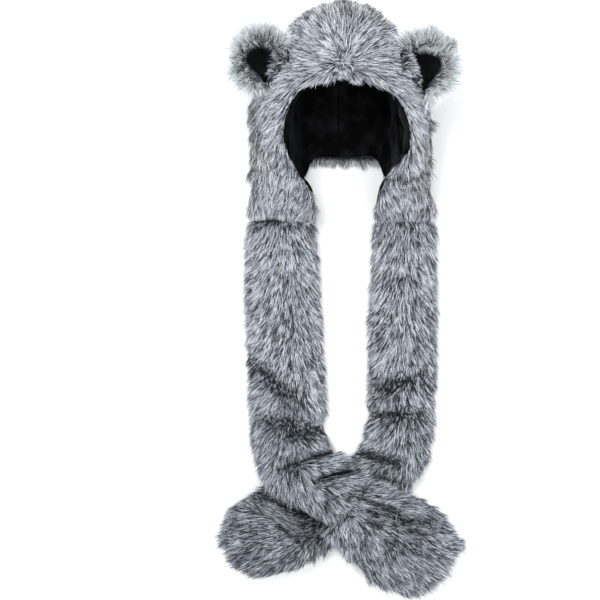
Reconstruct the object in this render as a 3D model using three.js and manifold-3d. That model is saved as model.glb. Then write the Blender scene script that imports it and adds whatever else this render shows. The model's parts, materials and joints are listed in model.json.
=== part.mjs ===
// An animal hood scarf of long-haired plush, lying on its back on a flat surface with the face opening up.
// The round-eared hood is a hollow wall of fur over a black lining. Two scarf strips run down from its cheeks,
// cross near their ends and finish in round mitten paws. The left strip lies on top of the right one.
// +X is the right-hand side as seen from above, +Y runs from the paws to the crown and +Z is up.
// All sizes are in millimetres. A fur skin is a grid of points, where every other point is the tip of a lock.

import * as THREE from "three";
import { mergeVertices } from "three/addons/utils/BufferGeometryUtils.js";
import Module from "manifold-3d";

const wasm = await Module();
wasm.setup();

// Hood, measured on its backing cloth
const crownLength = 137;
const cheekLength = 175;
const hoodWidth = 244;
const hoodHeight = 136;
const crownTipHeight = 58;
const cheekY = 125;
const openingShift = 6;
const crownTaper = 1.11;

// Fur and cloth thicknesses
const furBody = 14;
const furPile = 15;
const lockLean = 17;
const backPile = 13;
const liningThickness = 1.6;
const seamGap = 0.5;

// Scarf strips, measured along their middle lines
const scarfWidth = 98;
const scarfBody = 19;
const edgeOverhang = 10;
const crossingHeight = 22;
const crossingClearance = 3;
const crossingRamp = 46;
const pressedMargin = 8;
const pressedRamp = 18;

// Mitten paws
const pawLength = 170;
const pawWidth = 124;
const pawBody = 40;

// Ears, each a cupped disc with a black lining in the cup
const earRadius = 31;
const earThickness = 26;
const earPile = 17;
const cupDrop = 5;

// Sections of the hood from the crown to the seams with the scarf. down is a share of the way from the middle
// of the crown to the seam, wide a share of half hoodWidth, high and low shares of hoodHeight.
const hoodSections = [
  { down: -1.0, wide: 0.95, high: 0.96, low: 0.066 },
  { down: 0.0, wide: 0.96, high: 1.0, low: 0.066 },
  { down: 0.2, wide: 0.98, high: 0.95, low: 0.066 },
  { down: 0.4, wide: 0.985, high: 0.84, low: 0.066 },
  { down: 0.56, wide: 0.98, high: 0.7, low: 0.066 },
  { down: 0.74, wide: 1.02, high: 0.46, low: 0.055 },
  { down: 0.9, wide: 1.1, high: 0.19, low: 0.035 },
  { down: 1.0, wide: 1.13, high: 0.045, low: 0.02 },
];

// The hood's edge, from the middle of the brow round one cheek to the middle of the nape. out is a share of
// the half width there, down is as above, under is 1 on the lower layer, and steps counts the grid columns to
// the next row. kind says what the fur does there.
const hoodEdge = [
  { out: 0.0, down: -0.17, under: 0, steps: 5, kind: "brow" },
  { out: 0.38, down: -0.14, under: 0, steps: 4, kind: "brow" },
  { out: 0.6, down: 0.0, under: 0, steps: 4, kind: "brow" },
  { out: 0.69, down: 0.18, under: 0, steps: 3, kind: "rim" },
  { out: 0.71, down: 0.37, under: 0, steps: 3, kind: "rim" },
  { out: 0.64, down: 0.5, under: 0, steps: 3, kind: "rim" },
  { out: 0.46, down: 0.62, under: 0, steps: 5, kind: "rim" },
  { out: 0.31, down: 1.0, under: 0, steps: 7, kind: "seam" },
  { out: 1.0, down: 1.0, under: 0, steps: 3, kind: "seam" },
  { out: 0.94, down: 0.87, under: 1, steps: 5, kind: "nape" },
  { out: 0.5, down: 0.62, under: 1, steps: 3, kind: "nape" },
  { out: 0.46, down: 0.44, under: 1, steps: 7, kind: "nape" },
  { out: 0.0, down: 0.45, under: 1, steps: 0, kind: "nape" },
];

// Routes of the strips. x is the middle of the strip at its seam, tilt its first heading and turn its whole
// bend, both in degrees towards the other strip. length is what the creases leave of the strip's length,
// straight is a share of it, wide is a share of scarfWidth and spread a share of pawWidth.
const strips = {
  left: { side: -1, x: -95, tilt: 2.5, length: 498, straight: 0.68, radius: 110, turn: 53, wide: 1.0, spread: 1.06 },
  right: { side: 1, x: 101, tilt: 1, length: 512, straight: 0.61, radius: 165, turn: 71, wide: 0.89, spread: 0.9 },
};

// Widths along a strip, as shares of its full width: narrow at the cheek seam, full on the chest.
const stripWidths = [
  { along: 0.0, wide: 0.84 },
  { along: 0.12, wide: 0.93 },
  { along: 0.3, wide: 1.0 },
  { along: 0.75, wide: 1.0 },
  { along: 1.0, wide: 0.98 },
];

// Creases pressed into the strips. along is a share of the strip's length, from and to are places across it from -1 to
// 1, slant is how far the crease runs along the strip between them, and width is a share of scarfWidth.
const creases = {
  left: [
    { along: 0.5, from: -0.9, to: 0.1, slant: 0.09, depth: 0.45, width: 0.09 },
    { along: 0.62, from: -0.5, to: 0.9, slant: 0.02, depth: 0.5, width: 0.1 },
    { along: 0.72, from: -0.2, to: 1.0, slant: -0.07, depth: 0.6, width: 0.07 },
    { along: 0.83, from: 0.0, to: 1.0, slant: -0.06, depth: 0.5, width: 0.08 },
  ],
  right: [
    { along: 0.28, from: -0.3, to: 0.5, slant: 0.0, depth: 0.2, width: 0.07 },
    { along: 0.53, from: -0.5, to: 0.7, slant: 0.05, depth: 0.4, width: 0.1 },
    { along: 0.6, from: -0.8, to: 0.3, slant: -0.02, depth: 0.4, width: 0.08 },
    { along: 0.7, from: -1.0, to: 0.3, slant: 0.04, depth: 0.6, width: 0.09 },
  ],
};

const clamp01 = (value) => THREE.MathUtils.clamp(value, 0, 1);
const smooth = (low, high, value) => THREE.MathUtils.smoothstep(value, low, high);
const mix = THREE.MathUtils.lerp;
const sum = (items) => items.reduce((total, item) => total + item, 0);

// A repeatable number from -1 to 1 for a pair of whole numbers.
function scatter(a, b) {
  const wave = Math.sin(a * 127.1 + b * 311.7) * 43758.5453;
  return 2 * (wave - Math.floor(wave)) - 1;
}

// The value of one column of a table at a place, on a smooth curve through the rows.
function readTable(rows, place, key, column) {
  const last = rows.length - 2;
  const i = THREE.MathUtils.clamp(rows.findIndex((row) => row[key] > place) - 1, 0, last);
  const index = place >= rows[rows.length - 1][key] ? last : i;
  const [a, b] = [rows[index], rows[index + 1]];
  const before = rows[Math.max(index - 1, 0)];
  const after = rows[Math.min(index + 2, rows.length - 1)];
  const slope = (p, q) => (q[key] === p[key] ? 0 : (q[column] - p[column]) / (q[key] - p[key]));
  const span = b[key] - a[key];
  const t = clamp01((place - a[key]) / span);
  const startSlope = slope(before, b) * span;
  const endSlope = slope(a, after) * span;
  const [t2, t3] = [t * t, t * t * t];
  const start = (2 * t3 - 3 * t2 + 1) * a[column] + (t3 - 2 * t2 + t) * startSlope;
  return start + (3 * t2 - 2 * t3) * b[column] + (t3 - t2) * endSlope;
}

// A closed surface is put together from rings of points. Rings of the same size are joined by squares cut so
// that each lock tip has its own four faces, and a ring joins one of half its size by threes.
class Surface {
  constructor() {
    this.points = [];
    this.faces = [];
  }

  ring(points) {
    const first = this.points.length;
    this.points.push(...points);
    return points.map((_, i) => first + i);
  }

  join(a, b, row = 0) {
    if (a.length === 2 * b.length) {
      this.joinHalf(a, b, false);
      return;
    }
    if (b.length === 2 * a.length) {
      this.joinHalf(b, a, true);
      return;
    }
    const count = a.length;
    for (let i = 0; i < count; i++) {
      const next = (i + 1) % count;
      if ((row + i) % 2 === 0) {
        this.faces.push([a[i], b[i], b[next]], [a[i], b[next], a[next]]);
      } else {
        this.faces.push([a[i], b[i], a[next]], [b[i], b[next], a[next]]);
      }
    }
  }

  joinHalf(fine, coarse, turned) {
    coarse.forEach((c, i) => {
      const next = coarse[(i + 1) % coarse.length];
      const [p, q, r] = [fine[2 * i], fine[2 * i + 1], fine[(2 * i + 2) % fine.length]];
      const made = [
        [p, c, q],
        [q, c, next],
        [q, next, r],
      ];
      this.faces.push(...(turned ? made.map(([x, y, z]) => [x, z, y]) : made));
    });
  }

  cap(ring, middle, turned) {
    const [centre] = this.ring([middle]);
    ring.forEach((p, i) => {
      const next = ring[(i + 1) % ring.length];
      this.faces.push(turned ? [centre, p, next] : [centre, next, p]);
    });
  }

  // The geometry, with its faces pointing out.
  geometry() {
    const place = (i) => this.points[i];
    const volume = sum(this.faces.map(([a, b, c]) => place(a).dot(place(b).clone().cross(place(c)))));
    const faces = volume < 0 ? this.faces.map(([a, b, c]) => [a, c, b]) : this.faces;
    const made = new THREE.BufferGeometry();
    made.setAttribute(
      "position",
      new THREE.Float32BufferAttribute(
        this.points.flatMap((p) => [p.x, p.y, p.z]),
        3,
      ),
    );
    made.setIndex(faces.flat());
    return made;
  }
}

function solidOf(geometry) {
  const bare = geometry.clone();
  bare.deleteAttribute("normal");
  bare.deleteAttribute("uv");
  const merged = mergeVertices(bare, 1e-3);
  return new wasm.Manifold(
    new wasm.Mesh({
      numProp: 3,
      vertProperties: new Float32Array(merged.attributes.position.array),
      triVerts: new Uint32Array(merged.index.array),
    }),
  );
}

function geometryOf(solid) {
  const mesh = solid.getMesh();
  const made = new THREE.BufferGeometry();
  made.setAttribute("position", new THREE.BufferAttribute(mesh.vertProperties, 3));
  made.setIndex(new THREE.BufferAttribute(mesh.triVerts, 1));
  return made;
}

// What is left of one shape after others are cut from it. Loose slivers are dropped.
function cutFrom(geometry, ...tools) {
  let solid = solidOf(geometry);
  for (const tool of tools) solid = solid.subtract(solidOf(tool));
  const pieces = solid.decompose().sort((a, b) => b.volume() - a.volume());
  return geometryOf(pieces[0]);
}

// HOOD

const halfHood = hoodWidth / 2;
const roundness = 0.88;
const flatness = 0.42;
const sideHeight = 0.34;
const crownY = cheekY + cheekLength;

// The whorl on the brow, which the hood's fur runs away from.
const whorl = new THREE.Vector3(openingShift, crownY + 0.33 * crownLength, hoodHeight * 1.2);

// A point of a hood section. angle runs from 0 at the top to 180 degrees on the floor, and grow is the distance
// out from the backing cloth.
function hoodPoint(side, angle, fall, grow) {
  const quarter = Math.PI / 2;
  const dome = fall < quarter ? Math.sin(fall) ** crownTaper : 1;
  const y =
    fall < quarter
      ? crownY + (crownLength + grow) * Math.cos(fall) ** crownTaper
      : crownY - crownLength * (fall - quarter);
  const down = fall < quarter ? 0 : (crownY - y) / cheekLength;
  const read = (column) => readTable(hoodSections, down, "down", column);
  const top = read("high") * hoodHeight;
  const bottom = read("low") * hoodHeight;
  const middle = mix(bottom, top, sideHeight);
  const cosine = Math.cos(angle);
  const shape = Math.sign(cosine) * Math.abs(cosine) ** (cosine > 0 ? roundness : flatness);
  const reach = shape > 0 ? top + grow - middle : middle - bottom + Math.min(grow, backPile);
  const z = middle + shape * reach;
  const across = side * Math.max(Math.sin(angle), 0) ** roundness * (read("wide") * halfHood + grow);
  const height = mix(crownTipHeight, z, dome);
  return new THREE.Vector3(across * dome, y, Math.max(height, 0));
}

// How far round and down each grid column of one side of the hood ends.
function edgeOfSide(side) {
  const ends = [];
  hoodEdge.forEach((row, i) => {
    const next = hoodEdge[i + 1];
    for (let step = 0; step < row.steps; step++) {
      const t = step / row.steps;
      const down = mix(row.down, next.down, t);
      const shift = (side * openingShift) / halfHood;
      const plain = mix(row.out, next.out, t);
      const out = clamp01(plain + shift * smooth(0, 0.35, plain) * (1 - smooth(0.6, 1, plain)));
      const lean = Math.asin(out ** (1 / roundness));
      const angle = mix(row.under, next.under, t) > 0.5 || row.under ? Math.PI - lean : lean;
      ends.push({ angle, down, kind: row.kind, side });
    }
  });
  return ends;
}

function fallAt(down) {
  const quarter = Math.PI / 2;
  if (down < 0) return Math.acos(Math.min((-down * cheekLength) / crownLength, 1) ** (1 / crownTaper));
  return quarter + (down * cheekLength) / crownLength;
}

// Columns run once round the hood's edge: down the right side from the brow, over the nape and up the left.
function hoodColumns() {
  const right = edgeOfSide(1);
  const left = edgeOfSide(-1);
  const half = right.length;
  const nape = { angle: Math.PI, down: hoodEdge[hoodEdge.length - 1].down, kind: "nape", side: 1 };
  const columns = [...right, nape, ...left.slice(1).reverse()];
  return columns.map((column, i) => {
    const turn = i <= half ? i / half : 2 - i / half;
    return { ...column, start: turn * Math.PI, end: fallAt(column.down) };
  });
}

const columns = hoodColumns();
const hoodRings = 20;

function onHood(column, share, grow) {
  const angle = mix(column.start, column.angle, share ** 2.2);
  return hoodPoint(column.side, angle, share * column.end, grow);
}

// Where each ear stands: its middle as shares of half hoodWidth, crownLength and hoodHeight, and its tilt out.
const earSeats = {
  left: { side: -1, out: 1.01, up: 0.465, high: 0.78, tilt: 16 },
  right: { side: 1, out: 1.03, up: 0.41, high: 0.78, tilt: 16 },
};

function earMiddle({ side, out, up, high }) {
  return new THREE.Vector3(side * out * halfHood, crownY + up * crownLength, high * hoodHeight);
}

function earFrame(seat) {
  const middle = earMiddle(seat);
  const turn = new THREE.Quaternion().setFromAxisAngle(
    new THREE.Vector3(0, 1, 0),
    THREE.MathUtils.degToRad(seat.side * seat.tilt),
  );
  return (point) => point.applyQuaternion(turn).add(middle);
}

// The hood's pile is pressed flat where it lies on the floor, and is left short where an ear is sewn on.
const fluffAt = (point) => smooth(0.08, 0.35, point.z / hoodHeight);

function clearOfEars(point) {
  const toEar = Math.min(...Object.values(earSeats).map((seat) => earMiddle(seat).distanceTo(point)));
  return smooth(earRadius + 1.8 * earPile, earRadius + 2.8 * earPile, toEar);
}

// The tip of a lock, raised from a point of the fur and leaning away from the whorl.
function hoodLock(cloth, fur, amount, lean) {
  const out = fur.clone().sub(cloth).normalize();
  const away = fur.clone().sub(whorl);
  away.addScaledVector(out, -away.dot(out)).normalize();
  const tip = fur.clone().addScaledVector(out, furPile * amount).addScaledVector(away, lean * lockLean);
  tip.z = Math.max(tip.z, 0);
  return tip;
}

// The rings of one face of the hood, from the crown to the edge. Each ring keeps every stride-th column.
function hoodFace(surface, grow, stride, locks) {
  const rings = [];
  for (let r = 1; r <= hoodRings; r++) {
    if (r % stride && r !== hoodRings) continue;
    const share = r / hoodRings;
    const skip = stride * (share < 0.2 ? 4 : share < 0.45 ? 2 : 1);
    const kept = columns.filter((_, i) => i % skip === 0);
    const points = kept.map((column, i) => {
      const fur = onHood(column, share, grow);
      if (!locks || (r + i) % 2 === 0) return fur;
      const fluff = fluffAt(fur) * (1 + 0.25 * scatter(r, i));
      const atSeam = column.kind === "seam" ? 1 - smooth(0.8, 1, share) : 1;
      const free = atSeam * clearOfEars(fur);
      return hoodLock(onHood(column, share, 0), fur, fluff * free, Math.max(fluff, 0.5) * free);
    });
    rings.push(surface.ring(points));
  }
  const tip = onHood({ ...columns[0], start: 0, angle: 0 }, 0, grow);
  surface.cap(rings[0], tip, true);
  rings.slice(1).forEach((ring, i) => surface.join(rings[i], ring, i + 1));
  return rings[rings.length - 1];
}

// A wall between two distances from the cloth. Its far face is wound the other way, and its edges are joined.
function hoodWall(near, far, stride, locks) {
  const surface = new Surface();
  const outside = hoodFace(surface, far, stride, locks);
  const facesOutside = surface.faces.length;
  const inside = hoodFace(surface, near, 2, false);
  surface.faces = surface.faces.map(([a, b, c], i) => (i < facesOutside ? [a, b, c] : [a, c, b]));
  surface.join(outside, inside, 1);
  return surface.geometry();
}

// A block that takes away everything on one side of a plane across the object.
function blockAt(y, way) {
  const reach = 1200;
  return new THREE.BoxGeometry(reach, reach, reach).translate(0, y + (way * reach) / 2, 0);
}

const belowSeam = blockAt(cheekY, -1);
const hoodFur = cutFrom(hoodWall(0, furBody, 1, true), belowSeam);
const hoodLining = cutFrom(hoodWall(-seamGap - liningThickness, -seamGap, 2, false), belowSeam);

// STRIPS

// The route of a strip: a straight run, a bend towards the other strip and a straight run to the paw's end.
function routeOf({ side, x, tilt, length, straight, radius, turn }) {
  const run = straight * length;
  const first = THREE.MathUtils.degToRad(tilt);
  const bend = THREE.MathUtils.degToRad(turn);
  return (distance) => {
    const bent = THREE.MathUtils.clamp((distance - run) / radius, 0, bend);
    const heading = first + bent;
    const before = Math.min(distance, run);
    const after = Math.max(distance - run - bend * radius, 0);
    const sideways =
      before * Math.sin(first) + radius * (Math.cos(first) - Math.cos(heading)) + after * Math.sin(heading);
    const forwards =
      before * Math.cos(first) + radius * (Math.sin(heading) - Math.sin(first)) + after * Math.cos(heading);
    const place = new THREE.Vector2(x - side * sideways, cheekY - seamGap - forwards);
    const along = new THREE.Vector2(-side * Math.sin(heading), -Math.cos(heading));
    return { place, along, across: new THREE.Vector2(-along.y, along.x) };
  };
}

const routes = { left: routeOf(strips.left), right: routeOf(strips.right) };
const wholeLength = (name) => strips[name].length + pawLength;

// Half the width of the cloth at a distance along a strip and its paw.
function halfWidth(name, distance) {
  const { length, wide: full, spread } = strips[name];
  const onStrip = (readTable(stripWidths, distance / length, "along", "wide") * full * scarfWidth) / 2;
  if (distance <= length) return onStrip;
  const share = (distance - length) / pawLength;
  const wide = (pawWidth / 2) * spread;
  const swell = mix(onStrip, wide, smooth(0, 0.5, share));
  const round = share < 0.55 ? 1 : Math.sqrt(Math.max(1 - ((share - 0.55) / 0.45) ** 2.2, 0));
  return swell * round;
}

// The nearest point of a strip's middle line, sought among evenly spaced places.
function nearestOn(name, x, y) {
  const places = 90;
  let best = { gap: Infinity, distance: 0 };
  for (let i = 0; i <= places; i++) {
    const distance = (wholeLength(name) * i) / places;
    const gap = routes[name](distance).place.distanceTo(new THREE.Vector2(x, y));
    if (gap < best.gap) best = { gap, distance };
  }
  return best;
}

// How high the left strip is carried where it crosses the right one, and how far that one is pressed there.
function carried(x, y) {
  const near = nearestOn("right", x, y);
  const half = halfWidth("right", near.distance) + edgeOverhang;
  return crossingHeight * (1 - smooth(half, half + crossingRamp, near.gap));
}

function pressed(x, y) {
  const near = nearestOn("left", x, y);
  const edge = halfWidth("left", near.distance) + edgeOverhang + pressedMargin;
  return 1 - smooth(edge, edge + pressedRamp, near.gap);
}

function settle(name, point, tallest) {
  if (name === "left") {
    point.z += carried(point.x, point.y);
  } else {
    const room = (crossingHeight - crossingClearance) / tallest;
    point.z *= mix(1, Math.min(room, 1), pressed(point.x, point.y));
  }
  return point;
}

// How much of the fur's height a crease leaves at a place on a strip.
function creased(name, distance, across) {
  const { length } = strips[name];
  const left = creases[name].map(({ along: at, from, to, slant, depth, width }) => {
    const share = clamp01((across - from) / (to - from));
    const off = (distance - (at + slant * (share - 0.5)) * length) / (width * scarfWidth);
    const ends = smooth(from - 0.25, from + 0.1, across) * (1 - smooth(to - 0.1, to + 0.25, across));
    return 1 - depth * ends * Math.exp(-off * off);
  });
  return left.reduce((product, item) => product * item, 1);
}

// A length of strip or paw. Each row across it is a ring: an arc over the top and a flat underside. body gives
// the height of the arc, and locks says how long the fur is.
function band(name, { from, to, rows, arc, body, locks, tallest, roundEnd = false }) {
  const surface = new Surface();
  const rings = [];
  const lastRow = roundEnd ? rows - 1 : rows;
  for (let r = 0; r <= lastRow; r++) {
    const share = roundEnd ? Math.sin((r / rows) * (Math.PI / 2)) : r / rows;
    const distance = mix(from, to, share);
    const { place, along, across } = routes[name](distance);
    const half = halfWidth(name, distance);
    const side = edgeOverhang * Math.min(half / (0.24 * pawWidth), 1);
    const put = (over, height) => {
      const flat = place.clone().addScaledVector(across, over);
      return new THREE.Vector3(flat.x, flat.y, height);
    };
    const points = [];
    for (let i = 0; i <= arc; i++) {
      const angle = Math.PI * (i / arc - 0.5);
      const [sine, cosine] = [Math.sin(angle), Math.max(Math.cos(angle), 0)];
      const rise = body(distance, sine) * cosine ** 0.55;
      const point = put(sine * (half + side * cosine ** 0.3), rise);
      if ((r + i) % 2 && i > 0 && i < arc) {
        const atEnd = smooth(0, 0.04, share) * (roundEnd ? 1 : 1 - smooth(0.95, 1, share));
        const length = locks * creased(name, distance, sine) * (1 + 0.25 * scatter(r, i + rows)) * atEnd;
        const forward = lockLean * (0.8 - 0.35 * Math.abs(sine)) * atEnd;
        const sideways = lockLean * 0.7 * sine * atEnd;
        point.x += across.x * (sine * length * 0.6 + sideways) + along.x * forward;
        point.y += across.y * (sine * length * 0.6 + sideways) + along.y * forward;
        point.z += cosine * length;
      }
      points.push(point);
    }
    const under = 3;
    for (let i = under; i > 0; i--) {
      const over = mix(-0.92, 0.92, i / (under + 1));
      points.push(put(over * half, 0));
    }
    rings.push(surface.ring(points.map((point) => settle(name, point, tallest))));
  }
  rings.slice(1).forEach((ring, i) => surface.join(rings[i], ring, i + 1));
  const centreOf = (ring) => {
    const middle = ring.reduce((total, i) => total.add(surface.points[i]), new THREE.Vector3());
    return middle.divideScalar(ring.length);
  };
  surface.cap(rings[0], centreOf(rings[0]), true);
  const tip = centreOf(rings[rings.length - 1]);
  if (roundEnd) {
    const { place } = routes[name](to);
    tip.set(place.x, place.y, tip.z);
  }
  surface.cap(rings[rings.length - 1], tip, false);
  return surface.geometry();
}

function stripFur(name) {
  return band(name, {
    from: 0,
    to: strips[name].length - seamGap,
    rows: 42,
    arc: 11,
    body: (distance, across) => scarfBody * creased(name, distance, across),
    locks: furPile * 0.8,
    tallest: scarfBody + furPile * 0.9,
  });
}

// A mitten paw, as low as the strip at its wrist seam and padded beyond it.
function pawFur(name) {
  const wrist = strips[name].length;
  return band(name, {
    from: wrist,
    to: wholeLength(name),
    rows: 18,
    arc: 13,
    body: (distance) => mix(scarfBody, pawBody, smooth(wrist, wrist + pawLength / 3, distance)),
    locks: furPile,
    tallest: pawBody + furPile,
    roundEnd: true,
  });
}

// EARS

// Profile of an ear about its own axis, from the bottom of the cup over the rim to the middle of the back, as
// shares of earRadius and earThickness. lock says how far the fur sticks out there, and drop is the share of
// cupDrop by which that row lies below the middle of the ear.
const earProfile = [
  { out: 0.4, up: 0.1, lock: 0, drop: 1 },
  { out: 0.8, up: 0.2, lock: 0, drop: 1 },
  { out: 0.92, up: 0.5, lock: 0.6, drop: 1 },
  { out: 1.03, up: 0.42, lock: 1, drop: 0 },
  { out: 1.1, up: 0.1, lock: 1, drop: 0 },
  { out: 0.98, up: -0.25, lock: 0.8, drop: 0 },
  { out: 0.55, up: -0.48, lock: 0.3, drop: 0 },
];
const cupDepth = 0.05;
const earSpokes = 18;

function earSpoke(i) {
  const turn = (i / earSpokes) * 2 * Math.PI;
  return new THREE.Vector3(Math.cos(turn), Math.sin(turn) * 1.08, 0);
}

function earFur(name) {
  const place = earFrame(earSeats[name]);
  const surface = new Surface();
  const rings = earProfile.map(({ out, up, lock, drop }, r) => {
    const points = Array.from({ length: earSpokes }, (_, i) => {
      const tip = lock && (r + i) % 2 ? lock * earPile * (1 + 0.2 * scatter(r, i)) : 0;
      const point = earSpoke(i).multiplyScalar(out * earRadius + tip);
      point.y -= drop * cupDrop;
      point.z = up * (earThickness + tip * 0.5);
      return place(point);
    });
    return surface.ring(points);
  });
  rings.slice(1).forEach((ring, i) => surface.join(rings[i], ring, i + 1));
  surface.cap(rings[0], place(new THREE.Vector3(0, -cupDrop, cupDepth * earThickness)), true);
  const back = place(new THREE.Vector3(0, 0, -0.55 * earThickness));
  surface.cap(rings[rings.length - 1], back, false);
  return surface.geometry();
}

// The black cloth in the cup of an ear, a thin dish that follows the fur's own cup.
function earLining(name) {
  const place = earFrame(earSeats[name]);
  const surface = new Surface();
  const lift = seamGap;
  const rows = [earProfile[0], earProfile[1]];
  const dish = (extra) =>
    rows.map(({ out, up }, r) => {
      const radius = out * earRadius - 3 * seamGap * r;
      const height = up * earThickness + lift + extra;
      const points = Array.from({ length: earSpokes / 2 }, (_, i) => {
        const point = earSpoke(2 * i).multiplyScalar(radius);
        point.y -= cupDrop;
        point.z = height;
        return place(point);
      });
      return surface.ring(points);
    });
  const upper = dish(liningThickness);
  const lower = dish(0);
  const middle = (extra) => place(new THREE.Vector3(0, -cupDrop, cupDepth * earThickness + lift + extra));
  surface.join(upper[0], upper[1]);
  surface.join(upper[1], lower[1]);
  surface.join(lower[1], lower[0]);
  surface.cap(upper[0], middle(liningThickness), true);
  surface.cap(lower[0], middle(0), false);
  return surface.geometry();
}

// ASSEMBLY

const silver = new THREE.MeshStandardMaterial({ color: 0x8f939b, roughness: 0.85, metalness: 0 });
const paleSilver = new THREE.MeshStandardMaterial({ color: 0xb4bac0, roughness: 0.85, metalness: 0 });
const black = new THREE.MeshStandardMaterial({ color: 0x08080a, roughness: 0.6, metalness: 0 });

const hoodScarf = new THREE.Group();

function add(name, geometry, material) {
  const mesh = new THREE.Mesh(geometry, material);
  mesh.name = name;
  hoodScarf.add(mesh);
}

add("hood_fur", hoodFur, silver);
add("hood_lining", hoodLining, black);

// What the ears are cut to, so that they sit on the hood's fur with a gap.
const seat = hoodWall(-liningThickness - 4 * seamGap, furBody + seamGap, 1, false);
const aboveSeam = blockAt(cheekY - seamGap, 1);

for (const name of ["left", "right"]) {
  add(`${name}_ear_fur`, cutFrom(earFur(name), seat), paleSilver);
  add(`${name}_ear_lining`, cutFrom(earLining(name), seat), black);
  add(`${name}_scarf_fur`, cutFrom(stripFur(name), aboveSeam), silver);
  add(`${name}_paw_fur`, pawFur(name), silver);
}

// The origin is the middle of the object's box, on the floor.
const box = new THREE.Box3().setFromObject(hoodScarf);
const centre = box.getCenter(new THREE.Vector3());
hoodScarf.position.set(-centre.x, -centre.y, -box.min.z);

export default hoodScarf;
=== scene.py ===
# %% [markdown]
# # A hood scarf of long-haired plush
# The object is a soft hood with two round ears. Its cheeks run on into two scarf strips, which cross and end in
# mitten paws. It lies on its back on a pale floor, seen from straight above.
# The imported CAD model is loaded as a fixed frame. Every piece below is made in the same metres and places, so
# nothing has to be fitted later.

# %% Load the frame
import json
import math

import bpy
import numpy as np
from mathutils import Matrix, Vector
from mathutils.bvhtree import BVHTree
from mathutils.kdtree import KDTree

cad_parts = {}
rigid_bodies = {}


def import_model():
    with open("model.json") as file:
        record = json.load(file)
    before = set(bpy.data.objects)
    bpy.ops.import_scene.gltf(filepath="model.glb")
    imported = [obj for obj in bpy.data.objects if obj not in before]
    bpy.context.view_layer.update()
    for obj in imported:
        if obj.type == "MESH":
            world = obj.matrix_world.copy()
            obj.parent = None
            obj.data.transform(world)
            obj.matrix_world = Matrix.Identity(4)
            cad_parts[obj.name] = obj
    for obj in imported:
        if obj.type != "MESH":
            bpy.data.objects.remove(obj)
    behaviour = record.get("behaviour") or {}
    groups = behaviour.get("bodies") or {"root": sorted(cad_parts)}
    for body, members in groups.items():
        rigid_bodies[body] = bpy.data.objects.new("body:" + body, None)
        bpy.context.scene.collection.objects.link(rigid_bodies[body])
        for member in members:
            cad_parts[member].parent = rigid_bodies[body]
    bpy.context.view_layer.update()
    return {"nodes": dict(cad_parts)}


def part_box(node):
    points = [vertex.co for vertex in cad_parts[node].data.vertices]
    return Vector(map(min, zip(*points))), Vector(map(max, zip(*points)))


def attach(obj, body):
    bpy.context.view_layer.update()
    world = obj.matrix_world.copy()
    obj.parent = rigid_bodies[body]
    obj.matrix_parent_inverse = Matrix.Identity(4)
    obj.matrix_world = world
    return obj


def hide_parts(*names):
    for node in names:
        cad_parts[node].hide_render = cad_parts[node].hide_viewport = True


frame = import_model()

# %% [markdown]
# # From the photograph to metres
# One pixel of the photograph is 1.6 mm on the floor. A point that lies higher is nearer to the camera and looks
# further out, so its height takes part in finding its true place. The frame's origin is the middle of the CAD
# box, and the boxes of two nodes say how far that is from the drawing's own origin.

# %% Places
pixel = 0.0016
photo_width = 600
drawing_px, drawing_py = 341, 297.5
eye_height = 2.3
drawing_x = (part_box("hood_lining")[0][0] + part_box("hood_lining")[1][0]) / 2
seam_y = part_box("hood_fur")[0][1]
drawing_y = seam_y - 0.125
eye = np.array([drawing_x - 41 * pixel, drawing_y - 2.5 * pixel])


def from_photo(px, py, height=0.0):
    """The place in the frame, at a height, that is seen at a pixel of the photograph."""
    on_floor = np.array([drawing_x + (px - drawing_px) * pixel, drawing_y + (drawing_py - py) * pixel])
    return eye + (on_floor - eye) * (eye_height - height) / eye_height


def to_photo(points):
    """The pixels of the photograph where points of the frame are seen."""
    on_floor = eye + (points[:, :2] - eye) * (eye_height / (eye_height - points[:, 2:3]))
    px = drawing_px + (on_floor[:, 0] - drawing_x) / pixel
    return np.stack([px, drawing_py - (on_floor[:, 1] - drawing_y) / pixel], axis=1)


print("camera above", eye, "seam at", seam_y)

# %% [markdown]
# # Camera, floor and light
# The photograph looks straight down, so the camera hangs above the floor with no turn. Its lens is chosen so that
# 600 pixels are 0.96 m of floor. The floor is white and so is the light, with one large soft lamp from the upper
# left, which leaves faint soft shadows where the fur touches the floor.

# %% Objects and their settings
def new_object(name, data):
    thing = bpy.data.objects.new(name, data)
    bpy.context.scene.collection.objects.link(thing)
    return thing


def configure(thing, settings):
    for name, value in settings.items():
        setattr(thing, name, value)
    return thing


# %% Camera
camera_data = bpy.data.cameras.new("camera")
camera = new_object("camera", camera_data)
camera.location = (eye[0], eye[1], eye_height)
camera_data.sensor_width = 36
camera_data.lens = camera_data.sensor_width * eye_height / (photo_width * pixel)
camera_data.clip_end = 20
bpy.context.scene.camera = camera
bpy.context.scene.view_settings.view_transform = "Standard"
print("lens", round(camera_data.lens, 2))

# %% Floor and lights
def new_material(name, values):
    """A material with some values of its Principled shader set."""
    material = bpy.data.materials.new(name)
    material.use_nodes = True
    for socket, value in values.items():
        material.node_tree.nodes["Principled BSDF"].inputs[socket].default_value = value
    return material


bpy.ops.mesh.primitive_plane_add(size=12, location=(0, 0, 0))
floor = bpy.context.object
floor.name = "floor"
floor.data.materials.append(new_material("pale_floor", {"Base Color": (0.95, 0.95, 0.955, 1), "Roughness": 0.9}))

world = bpy.data.worlds.new("studio")
world.use_nodes = True
background = world.node_tree.nodes["Background"].inputs
background["Color"].default_value = (0.97, 0.985, 1.0, 1)
background["Strength"].default_value = 1.15
bpy.context.scene.world = world


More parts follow.
